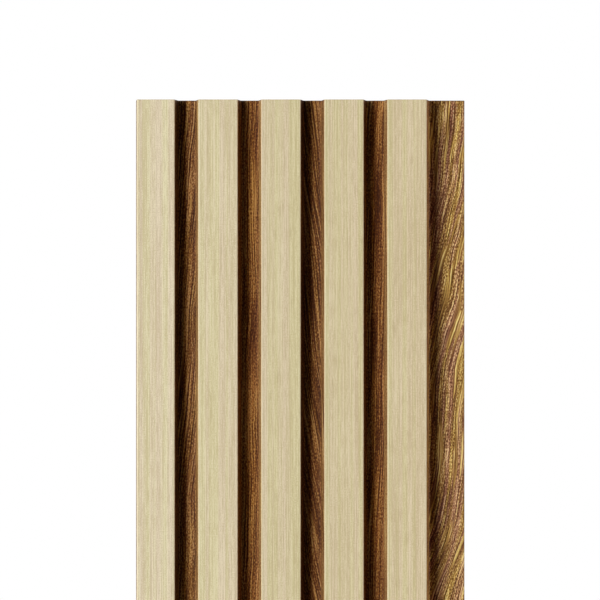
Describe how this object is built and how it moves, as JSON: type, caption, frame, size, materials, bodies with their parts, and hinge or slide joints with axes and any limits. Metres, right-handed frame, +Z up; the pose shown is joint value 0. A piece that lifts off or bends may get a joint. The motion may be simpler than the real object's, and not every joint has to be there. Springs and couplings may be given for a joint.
{
  "type": "slat wall panel",
  "caption": "Long grooved wall panel: flat pale wood-look slats stand between dark slanted grooves, and a thin lip laps behind the next panel.",
  "frame": {"origin": "middle of the flat back face, which lies against the wall", "axes": "+Z up the panel's length, -Y out of the slat faces into the room, +Y into the wall, +X towards the lip"},
  "size_m": [0.1257, 0.012, 2.7],
  "materials": {
    "walnut_film_board": "satin walnut-look film on a foamed board",
    "pale_oak_film": "matt pale oak-look strip with fine straight grain"
  },
  "bodies": {
    "root": {"grooved_board": "walnut_film_board", "slat_face_1": "pale_oak_film", "slat_face_2": "pale_oak_film", "slat_face_3": "pale_oak_film", "slat_face_4": "pale_oak_film", "slat_face_5": "pale_oak_film"}
  },
  "joints": []
}
